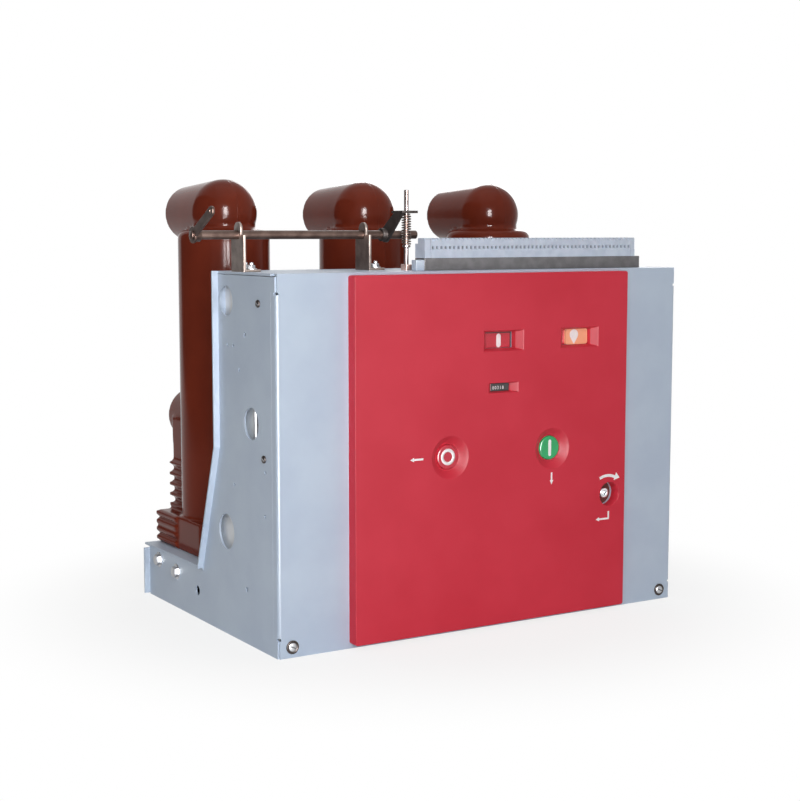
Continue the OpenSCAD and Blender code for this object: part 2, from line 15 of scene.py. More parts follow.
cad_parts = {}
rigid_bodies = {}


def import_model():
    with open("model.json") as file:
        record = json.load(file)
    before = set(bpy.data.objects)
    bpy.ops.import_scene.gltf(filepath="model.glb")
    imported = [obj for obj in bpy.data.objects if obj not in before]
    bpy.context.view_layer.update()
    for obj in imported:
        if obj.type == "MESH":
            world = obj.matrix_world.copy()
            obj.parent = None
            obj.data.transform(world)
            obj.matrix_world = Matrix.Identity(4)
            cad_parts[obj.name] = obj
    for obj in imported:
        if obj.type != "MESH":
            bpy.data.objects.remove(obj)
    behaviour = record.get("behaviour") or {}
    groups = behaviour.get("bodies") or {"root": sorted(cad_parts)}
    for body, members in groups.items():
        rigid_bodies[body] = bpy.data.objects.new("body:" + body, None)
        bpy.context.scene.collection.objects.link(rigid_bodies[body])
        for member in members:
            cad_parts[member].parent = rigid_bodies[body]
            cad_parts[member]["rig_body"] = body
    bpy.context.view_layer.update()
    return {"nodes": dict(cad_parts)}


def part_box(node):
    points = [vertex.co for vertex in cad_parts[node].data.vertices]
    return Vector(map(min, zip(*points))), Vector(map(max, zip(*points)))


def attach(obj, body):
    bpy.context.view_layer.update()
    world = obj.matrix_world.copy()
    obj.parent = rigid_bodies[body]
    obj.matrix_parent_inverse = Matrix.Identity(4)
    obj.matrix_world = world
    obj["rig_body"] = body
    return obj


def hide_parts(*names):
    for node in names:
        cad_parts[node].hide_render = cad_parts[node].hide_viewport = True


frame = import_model()
nodes = frame["nodes"]
MM = 0.001

# %% [markdown]
# ## Where things are
# The front cover's outer face is the plane that every depth is measured from, as a person at the
# bench would do with a rule. `at` turns a place in millimetres (right of the middle, behind the
# cover, above the floor) into a point in the shared frame.

# %% Datum planes
cover_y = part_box("front_cover")[0].y
top_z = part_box("top_plate")[1].z
panel_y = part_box("front_panel")[0].y


def at(x, depth, z):
    """A point given in millimetres, its depth measured behind the front cover's face."""
    return Vector((x * MM, cover_y + depth * MM, z * MM))


print("cover face at y =", round(cover_y, 4), "and panel face at y =", round(panel_y, 4))

# %% [markdown]
# ## Colours and nodes
# Paint makers and plastics makers give colours as sRGB hex values. The renderer works in linear
# light, so one function turns them over. A second small function adds a node to a tree, sets its
# properties, and links or sets its inputs, so each finish below reads as a list of what it does.

# %% Two helpers for materials


def linear(hex_value, alpha=1.0):
    """An sRGB hex colour as linear red, green, blue and alpha."""
    parts = [int(hex_value[i : i + 2], 16) / 255 for i in (1, 3, 5)]
    return [p / 12.92 if p <= 0.04045 else ((p + 0.055) / 1.055) ** 2.4 for p in parts] + [alpha]


def add(tree, kind, inputs=None, **settings):
    """Adds a node. An input's value is a number, a colour or another node's output socket."""
    made = tree.nodes.new(kind)
    for key, value in settings.items():
        setattr(made, key, value)
    for key, value in (inputs or {}).items():
        if isinstance(value, bpy.types.NodeSocket):
            tree.links.new(value, made.inputs[key])
        else:
            made.inputs[key].default_value = value
    return made


print("mid grey is", [round(c, 3) for c in linear("#808080")])

# %% [markdown]
# ## One recipe for a textured finish
# Paint, moulded plastic and cast resin all show three things: a slow drift of colour over
# centimetres, a fine grain that breaks the gloss, and a slightly uneven roughness. The recipe
# takes the size of each in millimetres. Image textures could do it too, but noise in Object
# coordinates has no seams and keeps its real size on every piece.

# %% The textured finish


def textured(name, dark, light, drift_mm, grain_mm, relief_mm, rough, **shader):
    """A finish that drifts between two colours, with a grain of a given size and height."""
    finish = bpy.data.materials.new(name)
    finish.use_nodes = True
    tree = finish.node_tree
    tree.nodes.clear()
    where = add(tree, "ShaderNodeTexCoord").outputs["Object"]
    drift = add(tree, "ShaderNodeTexNoise", {"Vector": where, "Scale": 1000 / drift_mm, "Detail": 3.0})
    grain = add(tree, "ShaderNodeTexNoise", {"Vector": where, "Scale": 1000 / grain_mm, "Detail": 2.0})
    colour = add(tree, "ShaderNodeValToRGB", {"Fac": drift.outputs["Fac"]})
    colour.color_ramp.elements[0].position = 0.35
    colour.color_ramp.elements[1].position = 0.65
    colour.color_ramp.elements[0].color = linear(dark)
    colour.color_ramp.elements[1].color = linear(light)
    gloss = add(tree, "ShaderNodeMapRange", {"Value": grain.outputs["Fac"], "From Min": 0.3,
                "From Max": 0.7, "To Min": rough[0], "To Max": rough[1]})
    bump = add(tree, "ShaderNodeBump", {"Height": grain.outputs["Fac"], "Distance": relief_mm * MM})
    surface = add(tree, "ShaderNodeBsdfPrincipled", {
        "Base Color": colour.outputs["Color"], "Roughness": gloss.outputs["Result"],
        "Normal": bump.outputs["Normal"], **{k.replace("_", " "): v for k, v in shader.items()}})
    add(tree, "ShaderNodeOutputMaterial", {"Surface": surface.outputs["BSDF"]})
    finish.diffuse_color = linear(light)
    return finish


# %% [markdown]
# ## The paints and plastics
# The box is powder-coated steel: polyester powder melts into a skin with a fine orange peel of
# about 2 mm, which softens every reflection. The front panel is moulded ABS with an eroded mould
# grain of about 0.3 mm, drawn at 0.9 mm so that it shows. The buttons are the same plastic with
# a smoother face. The terminal strip is polyamide, which is paler and a little waxy.

# %% Paint and plastic finishes
powder_coat = textured("powder_coated_steel", "#b4c1d3", "#bbc8d8", 60, 1.8, 0.05, (0.36, 0.5),
                       Specular_IOR_Level=0.35)
# Painted light: the inner frames are whiter than the box's powder coat, so that the shaded space behind
# the side holes looks as bright as the lit side plate.
frame_painted_light = textured("frame_whitened_as_painted_light", "#f1f3f6", "#fafbfc", 60, 1.8, 0.05, (0.3, 0.4))
red_abs = textured("moulded_red_abs", "#ca2a3c", "#d03042", 90, 0.9, 0.035, (0.46, 0.56),
                   Specular_IOR_Level=0.13)
red_button_abs = textured("smooth_red_abs", "#c42439", "#ca2b40", 20, 0.8, 0.01, (0.26, 0.34))
green_abs = textured("smooth_green_abs", "#1ea55f", "#25b06a", 20, 0.8, 0.01, (0.26, 0.34))
orange_enamel = textured("orange_enamel", "#fdb184", "#ffbe92", 15, 1.0, 0.01, (0.35, 0.42))
# Black ABS of the counter. The same black also paints the shade in the gap round the red flag.
black_abs_and_gap_shade = textured("black_abs_and_gap_shade", "#151314", "#1e1b1b", 10, 0.8, 0.01, (0.4, 0.5))
white_ink = textured("white_printing_ink", "#ece8e8", "#f6f3f2", 6, 0.7, 0.01, (0.5, 0.6))
polyamide = textured("pale_polyamide", "#b9c2d1", "#c6cedb", 12, 0.8, 0.02, (0.42, 0.52),
                     Subsurface_Weight=0.05, Subsurface_Scale=0.002)
# Painted shade: this black stands in for the shade in the screw slots and the wire funnels. The black
# card at the left uses it too.
slot_shade_and_card_black = textured("slot_shadow_black", "#26292e", "#30343a", 8, 0.7, 0.01, (0.6, 0.7))
print("powder coat, ABS in four colours, ink and polyamide are mixed")

# %% [markdown]
# ## The metals
# Zinc plating is a thin bright coat that follows the steel under it; a passivated one goes
# brown-grey and dull. A turned shaft shows rings round its axis, and a threaded rod shows its
# pitch. The rings are a wave pattern along the axis, of 1 mm pitch for an M6 thread.

# %% Metal finishes
THREAD_PITCH_MM, THREAD_DEPTH_MM = 1.0, 0.08
# Bright zinc of the bolts, nuts and screws. The same zinc also paints a highlight along the slot of each
# side screw.
zinc_and_slot_highlight = textured("bright_zinc_and_slot_highlight", "#97989b", "#acadb0", 9, 0.7, 0.02, (0.32, 0.46),
                      Metallic=1.0)
passivated = textured("passivated_bracket_steel", "#6d625d", "#857a74", 14, 0.8, 0.04, (0.36, 0.52),
                      Metallic=0.9)
black_oxide = textured("black_oxide_steel", "#2c2624", "#3a3331", 9, 0.8, 0.03, (0.38, 0.5),
                       Metallic=0.7)
brown_steel = textured("brown_oxide_steel", "#4a3a34", "#5f4e47", 11, 0.8, 0.03, (0.3, 0.44),
                       Metallic=0.85)
bronze = textured("sintered_bronze", "#4a241f", "#5c2f28", 6, 0.8, 0.03, (0.4, 0.52), Metallic=0.5)
yellow_zinc = textured("yellow_passivated_zinc", "#c9a9a0", "#dcc0b8", 4, 0.7, 0.02, (0.3, 0.42),
                       Metallic=0.9)
galvanised = textured("galvanised_rail_steel", "#514f50", "#5d5b5c", 12, 1.2, 0.03, (0.42, 0.56),
                      Metallic=0.75)
silver_plate = textured("silver_plated_copper", "#c9c7c0", "#dcdad4", 12, 0.8, 0.015, (0.22, 0.32),
                        Metallic=1.0)
ground_steel = textured("ground_steel", "#c2c4c8", "#d6d8da", 9, 0.7, 0.01, (0.16, 0.26), Metallic=1.0)


def ring_grooves(finish, axis, pitch_mm, depth_mm):
    """Adds turned rings, or a thread, along an axis of a finish that already has a grain."""
    tree = finish.node_tree
    grain_bump = next(n for n in tree.nodes if n.type == "BUMP")
    surface = next(n for n in tree.nodes if n.type == "BSDF_PRINCIPLED")
    where = next(n for n in tree.nodes if n.type == "TEX_COORD").outputs["Object"]
    wave = add(tree, "ShaderNodeTexWave", {"Vector": where, "Scale": 2 * math.pi / (20 * pitch_mm * MM)},
               bands_direction=axis)
    grooves = add(tree, "ShaderNodeBump", {"Height": wave.outputs["Fac"], "Distance": depth_mm * MM,
                  "Normal": grain_bump.outputs["Normal"]})
    tree.links.new(grooves.outputs["Normal"], surface.inputs["Normal"])
    return finish


rod_steel = textured("threaded_steel", "#6b5f5b", "#85797a", 9, 0.7, 0.01, (0.26, 0.36), Metallic=1.0)
threaded_rod = ring_grooves(rod_steel, "Z", THREAD_PITCH_MM, THREAD_DEPTH_MM)
print("nine metals are ready")

# %% [markdown]
# ## The epoxy of the poles
# The poles are cast by automatic pressure gelation: red-brown epoxy with a quartz filler, from a
# polished mould. That gives a glossy skin with a slow waviness, faint clouds where the filler
# settled, and a fine line where the two mould halves met, on the middle plane of each pole.

# %% Epoxy finish
epoxy = textured("cast_epoxy_resin", "#6e2b1c", "#78301f", 70, 1.4, 0.012, (0.12, 0.18),
                 Specular_IOR_Level=0.07)


def add_parting_line(finish, pitch_mm, width_mm, height_mm):
    """A raised line on each pole's middle plane. The poles stand a fixed distance apart."""
    tree = finish.node_tree
    grain_bump = next(n for n in tree.nodes if n.type == "BUMP")
    surface = next(n for n in tree.nodes if n.type == "BSDF_PRINCIPLED")
    where = next(n for n in tree.nodes if n.type == "TEX_COORD").outputs["Object"]
    split = add(tree, "ShaderNodeSeparateXYZ", {"Vector": where})
    fold = add(tree, "ShaderNodeMath", {0: split.outputs["X"], 1: -0.5 * pitch_mm * MM,
               2: 0.5 * pitch_mm * MM}, operation="WRAP")
    away = add(tree, "ShaderNodeMath", {0: fold.outputs["Value"]}, operation="ABSOLUTE")
    ridge = add(tree, "ShaderNodeMapRange", {"Value": away.outputs["Value"], "From Min": 0.0,
                "From Max": width_mm * MM, "To Min": 1.0, "To Max": 0.0})
    line = add(tree, "ShaderNodeBump", {"Height": ridge.outputs["Result"], "Distance": height_mm * MM,
               "Normal": grain_bump.outputs["Normal"]})
    tree.links.new(line.outputs["Normal"], surface.inputs["Normal"])


POLE_PITCH_MM = 210
add_parting_line(epoxy, POLE_PITCH_MM, 0.9, 0.25)
print("epoxy has its mould line every", POLE_PITCH_MM, "mm")

# %% [markdown]
# ## Putting pieces in the scene
# Every piece rides on a body and may stand for CAD nodes. One function does both, so no piece is
# forgotten. Its object sits at the origin and its place is in its mesh. Faces over 2 cm2 are plain
# sheet and are shaded flat.

# %% Make a piece
LARGE_FACE = 2e-4


def put(name, data):
    """Puts a mesh, a text, a lamp or a camera in the scene as an object at the origin."""
    made = bpy.data.objects.new(name, data)
    bpy.context.scene.collection.objects.link(made)
    return made


def baked(worker):
    """An object's final mesh, with its modifiers applied. The object itself is removed."""
    ready = worker.evaluated_get(bpy.context.evaluated_depsgraph_get())
    mesh = bpy.data.meshes.new_from_object(ready)
    bpy.data.objects.remove(worker)
    return mesh


def piece(name, mesh, finish, body="housing", replaces=(), smooth=True):
    """Puts a mesh in the scene as a finished piece."""
    made = put(name, mesh)
    mesh.materials.clear()
    mesh.materials.append(finish)
    mesh.polygons.foreach_set("use_smooth", [smooth and p.area < LARGE_FACE for p in mesh.polygons])
    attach(made, body)
    if replaces:
        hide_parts(*replaces)
    return made


def to_mesh(shape, name):
    """Turns edit geometry into a mesh with its faces outwards."""
    bmesh.ops.remove_doubles(shape, verts=shape.verts, dist=1e-7)
    bmesh.ops.recalc_face_normals(shape, faces=shape.faces)
    mesh = bpy.data.meshes.new(name)
    shape.to_mesh(mesh)
    shape.free()
    return mesh


# %% [markdown]
# ## Edges that catch the light
# Bent sheet, sawn plate and moulded plastic never have a knife edge. A copy of the CAD solid has
# its loose triangles merged into plain faces, and a bevel of the real size rounds what is left.
# The CAD node itself is never changed: the copy stands for it.

# %% Rounded copies of CAD nodes
WELD_M, FLAT_DEGREES, EDGE_DEGREES = 2e-6, 0.8, 32


def rounded(node, finish, radius_mm, segments=2, smooth=True):
    """A copy of a CAD node with its edges rounded. Flat sheet is shaded flat."""
    shape = bmesh.new()
    shape.from_mesh(nodes[node].data)
    bmesh.ops.remove_doubles(shape, verts=shape.verts, dist=WELD_M)
    bmesh.ops.dissolve_limit(shape, angle_limit=math.radians(FLAT_DEGREES), verts=shape.verts,
                             edges=shape.edges)
    body = nodes[node]["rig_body"]
    made = piece(node + "_shown", to_mesh(shape, node), finish, body, [node], smooth)
    bevel = made.modifiers.new("edges", "BEVEL")
    bevel.width = radius_mm * MM
    bevel.segments = segments
    bevel.limit_method = "ANGLE"
    bevel.angle_limit = math.radians(EDGE_DEGREES)
    bevel.harden_normals = smooth
    return made


for node in ["front_cover", "side_plate_left", "side_plate_right", "top_plate", "back_plate",
             "bottom_plate", "rear_foot_plate", "pole_shelf"]:
    rounded(node, powder_coat, 0.6, smooth=False)
# The inner frames take the whitened finish: painted light for the shaded space behind the side holes.
for node in ["inner_frame_left", "inner_frame_right"]:
    rounded(node, frame_painted_light, 0.4, smooth=False)
rounded("front_panel", red_abs, 0.9, 3)
for node in ["bracket_left", "bracket_right"]:
    rounded(node, passivated, 0.4)
rounded("lever_left", brown_steel, 0.4)
rounded("lever_right", black_oxide, 0.4)
rounded("interlock_shaft", brown_steel, 0.8)
rounded("strip_rail", galvanised, 0.6)
rounded("strip_end_clamp", polyamide, 0.8)
rounded("rod_guide", yellow_zinc, 0.5)
rounded("charging_shaft", ground_steel, 0.5)
rounded("charging_bearing", bronze, 0.4)
rounded("push_rod", threaded_rod, 0.5)
rounded("position_indicator", red_button_abs, 0.3)
rounded("charge_indicator", red_button_abs, 0.3)
rounded("operation_counter", black_abs_and_gap_shade, 0.3)
for side in ["left", "right"]:
    rounded("spring_rod_" + side, zinc_and_slot_highlight, 0.5)
print("sheet, panel, brackets and levers have rounded edges")

# %% [markdown]
# ## The three poles
# A casting has a fillet wherever two shapes meet, because resin and mould both need it. Rounding
# hundreds of edges where a dome, a barrel and a tube cross would tangle a bevel. A voxel remesh
# of the whole casting, eased a few times, gives the same soft fillets. One pole is made, and its
# two neighbours are the same casting a pole pitch away.

# %% Cast one pole and set three
VOXEL_MM, EASING_STEPS = 2.0, 5


def cast_pole():
    """The middle pole as one skin with softened junctions."""
    shape = bmesh.new()
    shape.from_mesh(nodes["pole_centre"].data)
    raw = put("raw_pole", to_mesh(shape, "raw_pole"))
    voxels = raw.modifiers.new("skin", "REMESH")
    voxels.mode = "VOXEL"
    voxels.voxel_size = VOXEL_MM * MM
    ease = raw.modifiers.new("ease", "SMOOTH")
    ease.factor = 0.5
    ease.iterations = EASING_STEPS
    return baked(raw)


def middle_of(node):
    """The middle of a CAD node's box."""
    low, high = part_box(node)
    return (low + high) / 2


one_pole = cast_pole()
for place in ["left", "centre", "right"]:
    skin = one_pole.copy()
    skin.transform(Matrix.Translation((middle_of("pole_" + place).x - middle_of("pole_centre").x, 0, 0)))
    piece("pole_" + place + "_casting", skin, epoxy, replaces=["pole_" + place])
    for level in ["upper", "lower"]:
        rounded(f"{level}_terminal_{place}", silver_plate, 1.0)
print("one pole has", len(one_pole.polygons), "faces")

# %% [markdown]
# ## Turned shapes and plates
# Buttons, screw heads and washers are turned: half of their outline is spun round an axis. Printed
# marks and stampings are outlines with a thickness. Two functions cover them all.

# %% Turned and stamped shapes


def turned(outline, centre, axis="Y", sides=48, phase=0.0, flip=1):
    """Spins an outline of (radius, height) in millimetres. An outline that closes makes a ring."""
    shape = bmesh.new()
    rings = []
    for radius, height in outline:
        ring = []
        for i in range(sides if radius > 0 else 1):
            turn = 2 * math.pi * i / sides + phase
            a, b, h = radius * math.cos(turn) * MM, radius * math.sin(turn) * MM, flip * height * MM
            offset = {"X": (h, a, b), "Y": (a, h, b), "Z": (a, b, h)}[axis]
            ring.append(shape.verts.new(centre + Vector(offset)))
        rings.append(ring)
    for low, high in zip(rings, rings[1:]):
        for i in range(sides):
            j = (i + 1) % sides
            corners = [low[i % len(low)], low[j % len(low)], high[j % len(high)], high[i % len(high)]]
            unique = list(dict.fromkeys(corners))
            if len(unique) > 2:
                shape.faces.new(unique)
    for ring in (rings[0], rings[-1]):
        if len(ring) > 2 and outline[0] != outline[-1]:
            shape.faces.new(ring)
    return shape


def extruded(corners, push):
    """A flat outline of points, made a solid by pushing a copy of it along a vector."""
    shape = bmesh.new()
    face = shape.faces.new([shape.verts.new(corner) for corner in corners])
    moved = bmesh.ops.extrude_face_region(shape, geom=[face])["geom"]
    bmesh.ops.translate(shape, vec=push, verts=[v for v in moved if isinstance(v, bmesh.types.BMVert)])
    return shape


def stamped(outline, front_depth, thick=0.2):
    """A plate with an outline of (x, z) in millimetres, its face at a depth behind the cover."""
    return extruded([at(x, front_depth, z) for x, z in outline], (0, thick * MM, 0))


def arc(cx, cz, radius, start, end, steps):
    """Points on an arc, with angles in degrees."""
    turns = [math.radians(start + (end - start) * i / steps) for i in range(steps + 1)]
    return [(cx + radius * math.cos(t), cz + radius * math.sin(t)) for t in turns]


def pill(x, z, half_w, half_h):
    """An upright bar with round ends, as points."""
    rise = half_h - half_w
    return arc(x, z + rise, half_w, 0, 180, 10) + arc(x, z - rise, half_w, 180, 360, 10)


def rounded_box(x, z, half_w, half_h, radius):
    """A rectangle with round corners, as points."""
    corners = [(1, 1, 0), (-1, 1, 90), (-1, -1, 180), (1, -1, 270)]
    return [p for sx, sz, a in corners for p in
            arc(x + sx * (half_w - radius), z + sz * (half_h - radius), radius, a, a + 90, 6)]


def joined(shapes, name):
    """Several shapes as one mesh."""
    whole = bmesh.new()
    for shape in shapes:
        part = to_mesh(shape, "part")
        whole.from_mesh(part)
        bpy.data.meshes.remove(part)
    return to_mesh(whole, name)


# %% [markdown]
# ## The two push buttons
# Each button is a mushroom cap with a rounded rim and a slightly hollow face for the fingertip.
# The red one carries a white ring and the green one a white bar, which are the general signs for
# off and on. Each sign rides with its own button.

# %% Buttons with their signs
button_box = {key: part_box(key + "_button") for key in ("trip", "close")}


def button_centre(key):
    low, high = button_box[key]
    return Vector(((low.x + high.x) / 2, low.y, (low.z + high.z) / 2))


# Half outlines as (radius, height behind the face) in millimetres
CAP = [(0, 0.35), (6, 0.3), (11, 0.1), (13.2, 0.0), (14.1, 0.3), (14.7, 0.9), (15, 1.7),
       (15, 14), (5, 14)]
RING = [(6.0, 0.4), (6.0, 0.22), (10.0, 0.04), (10.0, 0.3), (6.0, 0.4)]
for key, finish, slot in [("trip", red_button_abs, "red_panel"), ("close", green_abs, "green_button")]:
    centre = button_centre(key)
    length = (button_box[key][1].y - button_box[key][0].y) / MM
    cap = turned(CAP + [(5, length), (0, length)], centre, sides=64)
    piece(key + "_button_cap", to_mesh(cap, key), finish, key + "_button", [key + "_button"])
sign = turned(RING, button_centre("trip"), sides=64)
piece("trip_sign", to_mesh(sign, "trip_sign"), white_ink, "trip_button")
close_x, close_z = button_centre("close").x / MM, button_centre("close").z / MM
close_face = (button_centre("close").y - cover_y) / MM
bar = pill(close_x, close_z, 2.1, 10.5)
piece("close_sign", to_mesh(stamped(bar, close_face - 0.06, 0.5), "close_sign"), white_ink,
      "close_button", smooth=False)
print("buttons stand at", [round(button_centre(k).x, 3) for k in button_box])

# %% [markdown]
# ## Signs on the panel and in the windows
# Behind the first window is a red flag with a white bar: the contacts are closed. Behind the second
# is an orange flag with a white drop, for a charged spring. Four plain arrows point at the
# controls. A thin black frame round the red flag is painted shade, for the shadow in the gap
# between the window and the flag. The rest are thin prints. All are cut as plates so that they
# stay sharp at any distance.

# %% Flags and arrows
flag_face = (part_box("position_indicator")[0].y - cover_y) / MM
window_x, window_z = middle_of("position_indicator").x / MM, middle_of("position_indicator").z / MM
charge_x = middle_of("charge_indicator").x / MM

bar = pill(window_x + 3, window_z - 1, 3.3, 8.4)
# Painted shade: a black frame round the red flag stands in for the shadow in the gap between window and
# flag.
gap_shade = rounded_box(window_x, window_z, 21.6, 9.6, 0.5)
red_plate = rounded_box(window_x - 0.9, window_z - 0.7, 20.6, 8.8, 0.6)
orange_plate = rounded_box(charge_x + 4.6, window_z, 17.1, 9.6, 3)
drop = arc(charge_x + 0.5, window_z + 2.6, 6.6, -32, 212, 20) + [(charge_x + 0.5, window_z - 9.4)]
# Each print's name, outline, distance in front of the flag, thickness, finish and slot
for name, outline, ahead, thick, finish, slot in [
        ("closed_flag_bar", bar, 0.5, 0.3, white_ink, "pale_plastic"),
        ("closed_flag_gap_shade", gap_shade, 0.1, 0.2, black_abs_and_gap_shade, "black_plastic"),
        ("closed_flag_plate", red_plate, 0.35, 0.45, red_button_abs, "red_panel"),
        ("charged_flag_plate", orange_plate, 3.5, 3.7, orange_enamel, "orange_flag"),
        ("charged_flag_drop", drop, 3.65, 0.3, white_ink, "pale_plastic")]:
    shape = stamped(outline, flag_face - ahead, thick)
    piece(name, to_mesh(shape, name), finish, smooth=False)

panel_depth = (panel_y - cover_y) / MM


def straight_arrow(x0, z0, x1, z1, half=1.15, head=4.2):
    """An arrow from one point to another, as a shaft and a head."""
    start, end = Vector((x0, z0)), Vector((x1, z1))
    along = (end - start).normalized()
    across = Vector((-along.y, along.x))
    neck = end - along * head * 1.3
    return [tuple(p) for p in [start + across * half, start - across * half, neck - across * half,
            neck - across * head * 0.62, end, neck + across * head * 0.62, neck + across * half]]


def curved_arrow():
    """A broad arrow that bends over the charging hole, for the way the crank turns."""
    outer = arc(171.5, 148.5, 30.6, 116, 66, 14)
    inner = arc(171.5, 148.5, 27.0, 66, 116, 14)
    return outer + [(185.4, 180.4), (191.2, 173.2), (181.6, 170.6)] + inner


marks = [stamped(curved_arrow(), panel_depth - 0.12),
         stamped(straight_arrow(82, 188.7, 82, 173.5), panel_depth - 0.12),
         stamped(straight_arrow(-107.6, 220, -126, 220), panel_depth - 0.12),
         stamped(straight_arrow(173.7, 121.6, 153.2, 121.6), panel_depth - 0.12),
         stamped([(172.5, 120.5), (174.8, 120.5), (174.8, 131), (172.5, 131)], panel_depth - 0.13)]
piece("panel_arrows", joined(marks, "panel_arrows"), white_ink, smooth=False)
print("the flag's face is", round(flag_face, 2), "mm behind the cover")

# %% [markdown]
# ## The operation counter
# A mechanical counter shows small white digits on black drums. The digits are the only writing on
# the object, and they are plain numbers. A text object is the quick way to draw them: it is made
# a mesh before it is put in place.

# %% Digits on the counter
counter_low, counter_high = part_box("operation_counter")
digits = bpy.data.curves.new("digits", "FONT")
digits.body = "00318"
digits.size = 5.6 * MM
digits.extrude = 0.1 * MM
digits.space_character = 1.3
digit_mesh = baked(put("digit_writer", digits))
corner = Vector(((counter_low.x + counter_high.x) / 2 - 11.4 * MM, counter_low.y - 0.08 * MM,
                 (counter_low.z + counter_high.z) / 2 - 2.3 * MM))
digit_mesh.transform(Matrix.Translation(corner) @ Matrix.Rotation(math.pi / 2, 4, "X"))
piece("counter_digits", digit_mesh, white_ink, smooth=False)
print("counter shows", digits.body)

# %% [markdown]
# ## Repeating things with Geometry Nodes
# Ways of a terminal strip and rows of screws are one small shape, copied at a fixed step. A
# Geometry Nodes tree says exactly that: a line of points, an instance on each, then Realize
# Instances and Set Material. The step and the count are inputs, so a maker can change them.

# %% The row tree


def row_tree():
    """Copies the object's own mesh along a line."""
    tree = bpy.data.node_groups.new("row_of_pieces", "GeometryNodeTree")
    for name, kind in [("Geometry", "NodeSocketGeometry"), ("Count", "NodeSocketInt"),
                       ("Step", "NodeSocketVector"), ("Finish", "NodeSocketMaterial")]:
        tree.interface.new_socket(name, in_out="INPUT", socket_type=kind)
    tree.interface.new_socket("Geometry", in_out="OUTPUT", socket_type="NodeSocketGeometry")
    given = add(tree, "NodeGroupInput").outputs
    line = add(tree, "GeometryNodeMeshLine", {"Count": given["Count"], "Offset": given["Step"]})
    copies = add(tree, "GeometryNodeInstanceOnPoints",
                 {"Points": line.outputs["Mesh"], "Instance": given["Geometry"]})
    real = add(tree, "GeometryNodeRealizeInstances", {"Geometry": copies.outputs["Instances"]})
    dressed = add(tree, "GeometryNodeSetMaterial",
                  {"Geometry": real.outputs["Geometry"], "Material": given["Finish"]})
    add(tree, "NodeGroupOutput", {"Geometry": dressed.outputs["Geometry"]})
    return tree


def bake(mesh, tree, name, **values):
    """Runs a tree on a mesh and returns the result as a plain mesh."""
    worker = put(name, mesh)
    nodes_modifier = worker.modifiers.new(name, "NODES")
    nodes_modifier.node_group = tree
    for item in tree.interface.items_tree:
        if item.in_out == "INPUT" and item.name in values:
            nodes_modifier[item.identifier] = values[item.name]
    return baked(worker)


ROW = row_tree()
print("row tree takes", [s.name for s in ROW.interface.items_tree if s.in_out == "INPUT"])

# %% [markdown]
# ## The terminal strip
# Fifty feed-through ways are clipped side by side on a rail. Each is a thin moulded slice with a
# wire funnel in its face and a screw under its comb. A slice is made of two walls and a middle
# web that is set back at the funnel and at the comb, then copied fifty times. A black block set
# into each funnel is painted shade, for the dark inside the wire entry.

# %% One way, copied fifty times
strip_low, strip_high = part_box("terminal_strip")
PITCH, WAYS, LEFT_END, RIGHT_END = 6.2, 50, 9.0, 7.0
strip_d = (strip_high.y - strip_low.y) / MM
strip_h = (strip_high.z - strip_low.z) / MM


def slab(outline, x, width):
    """A slice of the strip: an outline of (depth, height) in millimetres from its lower front."""
    start = strip_low + Vector((x * MM, 0, 0))
    return extruded([start + Vector((0, d * MM, h * MM)) for d, h in outline], (width * MM, 0, 0))


shoulder = strip_h * 0.72
back_step = strip_d * 0.72
wall = [(0, 0), (strip_d, 0), (strip_d, shoulder), (back_step, shoulder), (back_step, strip_h - 1),
        (back_step - 1, strip_h), (1.6, strip_h), (0.5, strip_h - 1.6), (0.5, 9), (0, 8.4)]
web = [(0.12, 0), (strip_d - 0.4, 0), (strip_d - 0.4, shoulder - 0.6), (back_step - 0.8, shoulder - 0.6),
       (back_step - 0.8, strip_h - 1.6), (2.2, strip_h - 1.6), (0.7, strip_h - 3), (0.7, 14.6),
       (5, 14.0), (5, 11), (0.7, 10.4), (0.12, 8.4)]
one_way = joined([slab(wall, LEFT_END + 0.04, 1.55), slab(web, LEFT_END + 1.55, 3.1),
                  slab(wall, LEFT_END + 4.6, 1.55)], "way")
EVERY_WAY = {"Count": WAYS, "Step": (PITCH * MM, 0, 0)}
ways = bake(one_way, ROW, "ways", Finish=polyamide, **EVERY_WAY)
piece("terminal_strip_ways", ways, polyamide, replaces=["terminal_strip"], smooth=False)
right_end_x = LEFT_END + WAYS * PITCH + 0.3
ends = joined([slab(wall, 0.3, LEFT_END - 0.7), slab(wall, right_end_x, RIGHT_END - 0.6)], "strip_ends")
piece("terminal_strip_ends", ends, polyamide, smooth=False)
# Painted shade: a black block in each funnel's recess stands in for the shade inside it.
funnel = joined([slab([(3.2, 10.9), (5.1, 10.9), (5.1, 14), (3.2, 14)], LEFT_END + 1.6, 3.1)], "funnel")
funnel_shades = bake(funnel, ROW, "funnel_shades", Finish=slot_shade_and_card_black, **EVERY_WAY)
piece("wire_funnel_shade", funnel_shades, slot_shade_and_card_black, smooth=False)
screw_at = strip_low + Vector((LEFT_END + 3.1, 7, strip_h - 1.7)) * MM
small_screw = to_mesh(turned([(1.45, 0), (1.45, 0.9), (1.1, 1.3), (0, 1.3)], screw_at, "Z", 10), "screw")
way_screws = bake(small_screw, ROW, "screws", Finish=zinc_and_slot_highlight, **EVERY_WAY)
piece("way_screws", way_screws, zinc_and_slot_highlight, smooth=False)
print("terminal strip has", len(ways.polygons), "faces in", WAYS, "ways")

# %% [markdown]
# ## The return spring
# A compression spring is a wire swept along a helix, with its end turns closed up. Geometry Nodes
# has a spiral curve whose height, radius and number of turns are inputs. It stands for the plain
# sleeve of the CAD model and rides on the push rod.

# %% Coil spring
spring_low, spring_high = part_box("push_rod_spring")
WIRE, TURNS = 0.8, 12.0
spring_foot = Vector((*middle_of("push_rod_spring").xy, spring_low.z + WIRE * MM))


